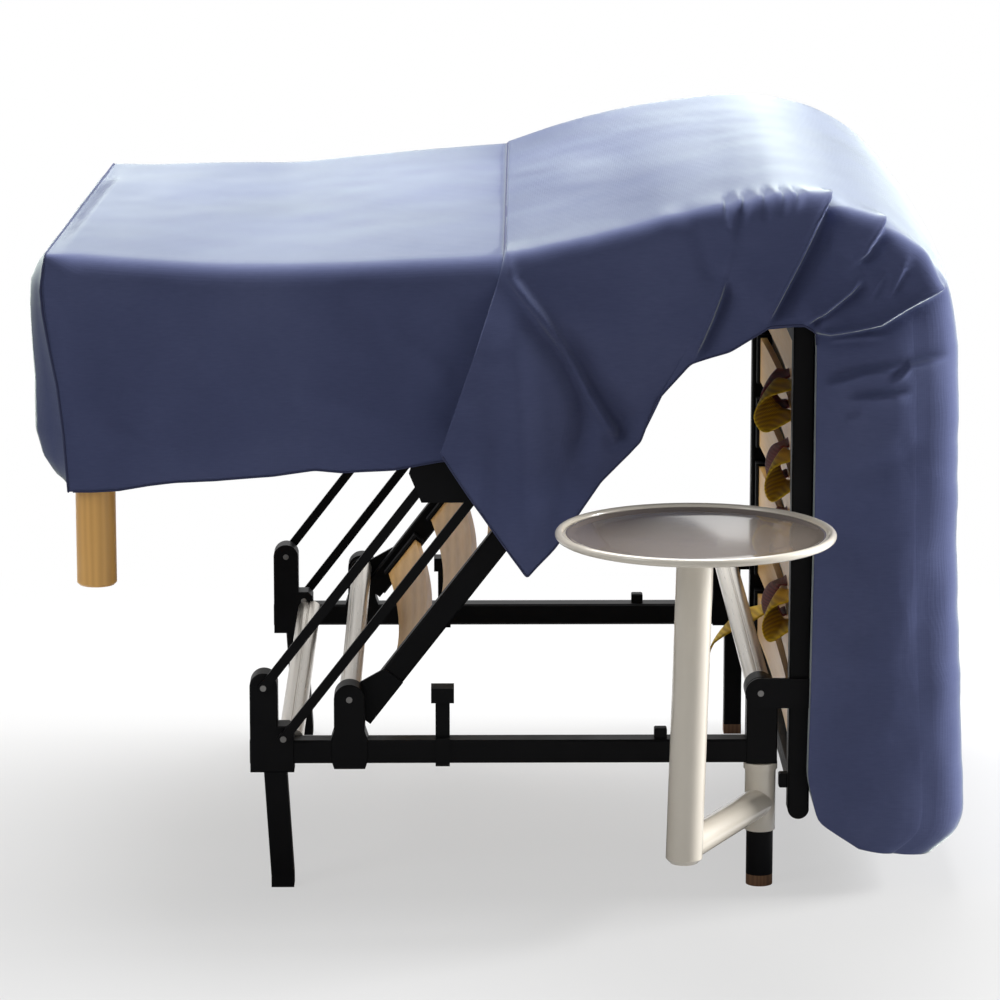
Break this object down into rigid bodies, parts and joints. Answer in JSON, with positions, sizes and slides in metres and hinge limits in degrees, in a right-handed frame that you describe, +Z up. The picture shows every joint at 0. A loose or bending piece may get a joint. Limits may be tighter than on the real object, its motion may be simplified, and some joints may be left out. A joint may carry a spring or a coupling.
{
  "type": "chair bed with swivel table",
  "caption": "Single chair bed half way through opening: lifting seat, folding slatted back, mattress humped over it in a loose cover, and a round swivel tray table on one leg.",
  "frame": {"origin": "on the floor, below the middle of the bounding box", "axes": "+X from the foot of the bed towards its back panel, -Y towards the side with the swivel table, +Z up"},
  "size_m": [1.1646, 1.2048, 0.9128],
  "materials": {
    "black_frame": "satin",
    "black_plastic": "matt",
    "silver_tube": "satin",
    "steel_pin": "satin",
    "bent_birch": "satin lacquer",
    "oiled_beech": "satin oil",
    "brown_wood": "matt",
    "covered_foam": "matt weave",
    "blue_cloth": "matt weave",
    "yellow_web": "woven",
    "maroon_web": "woven",
    "off_white_paint": "satin"
  },
  "bodies": {
    "base": {"base_rail_front": "black_frame", "base_rail_rear": "black_frame", "lift_bracket_front": "black_frame", "lift_bracket_rear": "black_frame", "panel_bracket_front": "black_frame", "panel_bracket_rear": "black_frame", "hinge_bracket_front": "black_frame", "hinge_bracket_rear": "black_frame", "leg_left_front": "black_frame", "leg_left_rear": "black_frame", "leg_right_front": "black_frame", "leg_right_rear": "black_frame", "foot_glides": "black_plastic", "foot_blocks": "brown_wood", "rest_posts": "black_plastic", "rail_pegs": "black_plastic", "cross_tube_left": "silver_tube", "cross_tube_right": "silver_tube", "base_pins": "steel_pin"},
    "upper_arms": {"lift_arm_upper_front": "black_frame", "lift_arm_upper_rear": "black_frame"},
    "lower_arms": {"lift_arm_lower_front": "black_frame", "lift_arm_lower_rear": "black_frame"},
    "middle_panel": {"panel_rail_front": "black_frame", "panel_rail_rear": "black_frame", "panel_ears": "black_frame", "panel_cross_tube": "silver_tube", "panel_cross_bar": "black_frame", "panel_slats": "bent_birch", "panel_slat_holders": "black_plastic"},
    "seat": {"seat_rail_front": "black_frame", "seat_rail_rear": "black_frame", "seat_cross_rails": "black_frame", "seat_lugs": "black_frame", "seat_tabs": "black_frame", "seat_pins": "steel_pin", "seat_slats": "bent_birch", "seat_slat_holders": "black_plastic", "seat_leg_front": "oiled_beech", "seat_leg_rear": "oiled_beech", "seat_mattress": "covered_foam", "cover_skirt": "blue_cloth"},
    "back_panel": {"back_rail_front": "black_frame", "back_rail_rear": "black_frame", "back_rail_caps": "black_plastic", "back_hinge_arms": "black_frame", "back_cross_bars": "black_frame", "back_slats": "bent_birch", "back_slat_holders": "black_plastic", "back_stop": "black_plastic", "yellow_webbing": "yellow_web", "maroon_webbing": "maroon_web", "mattress_head": "covered_foam", "mattress_middle": "covered_foam", "cover_flap": "blue_cloth"},
    "table": {"table_sleeve": "off_white_paint", "table_ring": "off_white_paint", "table_arm": "off_white_paint", "table_post": "off_white_paint", "tray": "off_white_paint"}
  },
  "joints": [
    {"name": "seat_swing", "type": "hinge", "parent": "base", "child": "lower_arms", "pos_m": [-0.28695, 0.1696, 0.198], "axis": [0, -1, 0], "range_deg": [-60.6, 136.2], "deforming": ["mattress_middle", "cover_flap"]},
    {"name": "seat_level", "type": "hinge", "parent": "lower_arms", "child": "seat", "pos_m": [-0.02952, 0.1696, 0.52987], "axis": [0, -1, 0], "range_deg": [-136.2, 60.6]},
    {"name": "upper_arm_turn", "type": "hinge", "parent": "base", "child": "upper_arms", "pos_m": [-0.31194, 0.1696, 0.262], "axis": [0, -1, 0], "range_deg": [-60.6, 136.2]},
    {"name": "middle_panel_turn", "type": "hinge", "parent": "base", "child": "middle_panel", "pos_m": [-0.20394, 0.1696, 0.245], "axis": [0, -1, 0], "range_deg": [-60.6, 136.2]},
    {"name": "back_fold", "type": "hinge", "parent": "base", "child": "back_panel", "pos_m": [0.31405, 0.1696, 0.254], "axis": [0, -1, 0], "range_deg": [0, 25]},
    {"name": "table_swivel", "type": "hinge", "parent": "base", "child": "table", "pos_m": [0.31605, -0.2154, 0.072], "axis": [0, 0, 1], "range_deg": [-20, 45]}
  ],
  "couplings": [
    {"joint": "seat_level", "follows": "seat_swing", "ratio": -1},
    {"joint": "upper_arm_turn", "follows": "seat_swing", "ratio": 1},
    {"joint": "middle_panel_turn", "follows": "seat_swing", "ratio": 1}
  ]
}
